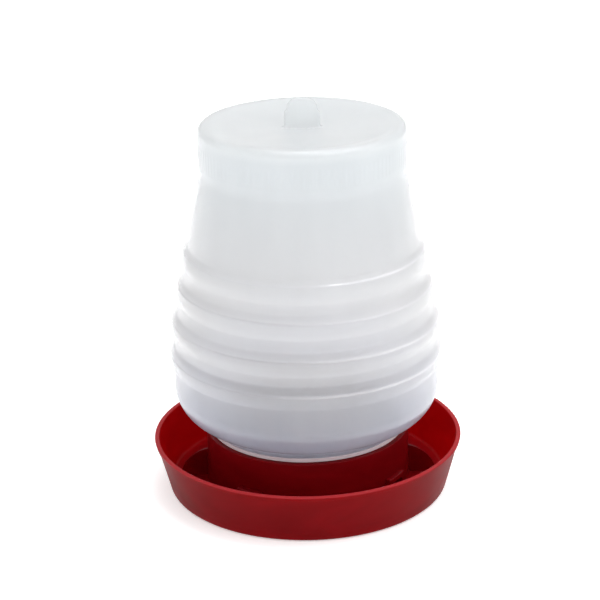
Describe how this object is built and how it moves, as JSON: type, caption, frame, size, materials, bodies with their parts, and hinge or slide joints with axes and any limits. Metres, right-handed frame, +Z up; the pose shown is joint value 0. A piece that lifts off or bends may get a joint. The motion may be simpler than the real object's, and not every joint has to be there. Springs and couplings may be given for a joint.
{
  "type": "poultry waterer fount",
  "caption": "Gravity waterer for poultry: a milky hooped jar with a hanging lug screws mouth down into a round red drinking tray.",
  "frame": {"origin": "centre of the tray's foot ring, on the plane the tray stands on", "axes": "+Z up along the jar's axis; the fins and the hanging lug lie along X; -Y is the front"},
  "size_m": [0.2296, 0.2296, 0.298],
  "materials": {
    "tray_plastic": "satin red moulding",
    "jar_plastic": "milky translucent, satin",
    "seal_rubber": "pale soft rubber"
  },
  "bodies": {
    "tray": {"drinking_tray": "tray_plastic"},
    "ring": {"seal_ring": "seal_rubber"},
    "jar": {"reservoir_jar": "jar_plastic"}
  },
  "joints": [
    {"name": "jar_lift", "type": "slide", "parent": "tray", "child": "ring", "axis": [0, 0, 1], "range_m": [0, 0.02401]},
    {"name": "jar_unscrew", "type": "hinge", "parent": "ring", "child": "jar", "pos_m": [0, 0, 0.15], "axis": [0, 0, 1], "range_deg": [0, 1080]}
  ],
  "couplings": [
    {"joint": "jar_lift", "follows": "jar_unscrew", "m_per_rad": 0.0012732}
  ]
}
